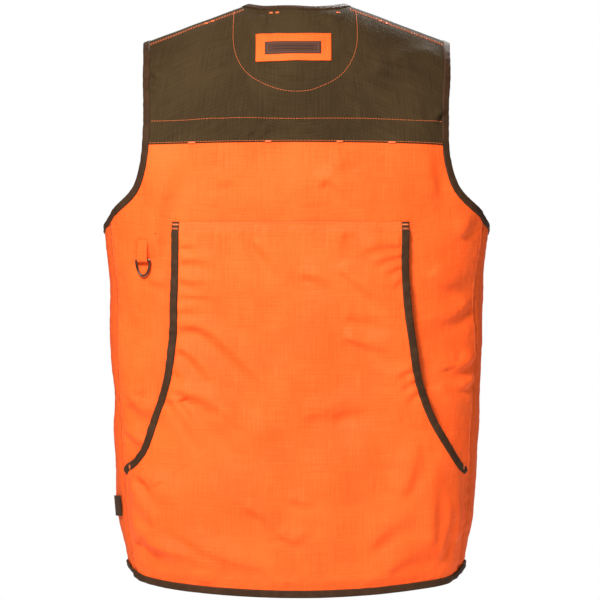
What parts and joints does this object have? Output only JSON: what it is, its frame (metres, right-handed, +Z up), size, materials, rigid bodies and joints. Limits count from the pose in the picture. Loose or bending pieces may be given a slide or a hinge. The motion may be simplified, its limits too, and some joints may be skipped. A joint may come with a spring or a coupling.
{
  "type": "hunting vest",
  "caption": "Sleeveless blaze orange hunting vest with a dark yoke, a game pouch across the back with side mouths, flap pockets and a front that zips.",
  "frame": {"origin": "midway between the two neck points of the shoulder seams, where a hanger or the wearer's shoulders hold the vest", "axes": "+Z up; +Y out of the vest's back; +X towards the wearer's left"},
  "size_m": [0.5012, 0.2917, 0.7647],
  "materials": {
    "ripstop_brown": "matte ripstop weave",
    "ripstop_orange": "matte blaze orange ripstop",
    "mesh_orange": "open knit mesh over lining",
    "binding_brown": "woven binding tape",
    "label_brown": "woven label",
    "hardware_bronze": "dark bronze",
    "hardware_steel": "satin",
    "zip_teeth": "moulded teeth",
    "zip_tape": "woven tape"
  },
  "bodies": {
    "vest_body": {"armhole_binding_left": "binding_brown", "armhole_binding_right": "binding_brown", "back_panel": "ripstop_orange", "back_yoke": "ripstop_brown", "d_ring_tab": "ripstop_orange", "front_yoke_left": "ripstop_brown", "front_yoke_right": "ripstop_brown", "game_pouch_panel": "ripstop_orange", "hanger_loop": "binding_brown", "hem_binding_back": "binding_brown", "label_patch": "ripstop_orange", "neck_binding": "binding_brown", "pouch_binding_left": "binding_brown", "pouch_binding_right": "binding_brown", "side_panel_left": "mesh_orange", "side_panel_right": "mesh_orange", "side_tag": "binding_brown", "woven_label": "label_brown"},
    "left_front": {"front_panel_left": "ripstop_orange", "armhole_front_binding_left": "binding_brown", "hem_binding_front_left": "binding_brown", "zip_teeth_left": "zip_teeth", "zip_tape_left": "zip_tape", "zip_stop_left": "hardware_steel", "zip_box": "hardware_steel", "pocket_left": "ripstop_orange", "pocket_snap_left": "hardware_bronze"},
    "right_front": {"front_panel_right": "ripstop_orange", "armhole_front_binding_right": "binding_brown", "hem_binding_front_right": "binding_brown", "zip_teeth_right": "zip_teeth", "zip_tape_right": "zip_tape", "zip_stop_right": "hardware_steel", "zip_pin": "hardware_steel", "pocket_right": "ripstop_orange", "pocket_snap_right": "hardware_bronze"},
    "slider": {"zip_slider": "hardware_bronze", "zip_bail": "hardware_bronze"},
    "pull": {"zip_pull": "hardware_bronze"},
    "left_flap": {"pocket_flap_left": "ripstop_orange", "flap_snap_left": "hardware_bronze"},
    "right_flap": {"pocket_flap_right": "ripstop_orange", "flap_snap_right": "hardware_bronze"},
    "d_ring_body": {"d_ring": "hardware_bronze"}
  },
  "joints": [
    {"name": "left_front_swing", "type": "hinge", "parent": "vest_body", "child": "left_front", "pos_m": [0.2266, -0.0735, -0.29], "axis": [0.0624, 0, 0.9981], "range_deg": [0, 60]},
    {"name": "right_front_swing", "type": "hinge", "parent": "vest_body", "child": "right_front", "pos_m": [-0.2266, -0.0735, -0.29], "axis": [0.0624, 0, -0.9981], "range_deg": [0, 60]},
    {"name": "zip_slide", "type": "slide", "parent": "left_front", "child": "slider", "axis": [0, 0, 1], "range_m": [0, 0.564]},
    {"name": "zip_pull_swing", "type": "hinge", "parent": "slider", "child": "pull", "pos_m": [0, -0.1211, -0.73], "axis": [-1, 0, 0], "range_deg": [0, 110]},
    {"name": "left_flap_lift", "type": "hinge", "parent": "left_front", "child": "left_flap", "pos_m": [0.10342, -0.11881, -0.49401], "axis": [-0.9921, -0.1255, 0], "range_deg": [0, 85]},
    {"name": "right_flap_lift", "type": "hinge", "parent": "right_front", "child": "right_flap", "pos_m": [-0.10342, -0.11881, -0.49401], "axis": [-0.9921, 0.1255, 0], "range_deg": [0, 85]},
    {"name": "d_ring_swing", "type": "hinge", "parent": "vest_body", "child": "d_ring_body", "pos_m": [0.19582, 0.10335, -0.33038], "axis": [0.894, -0.448, 0], "range_deg": [0, 100]}
  ]
}
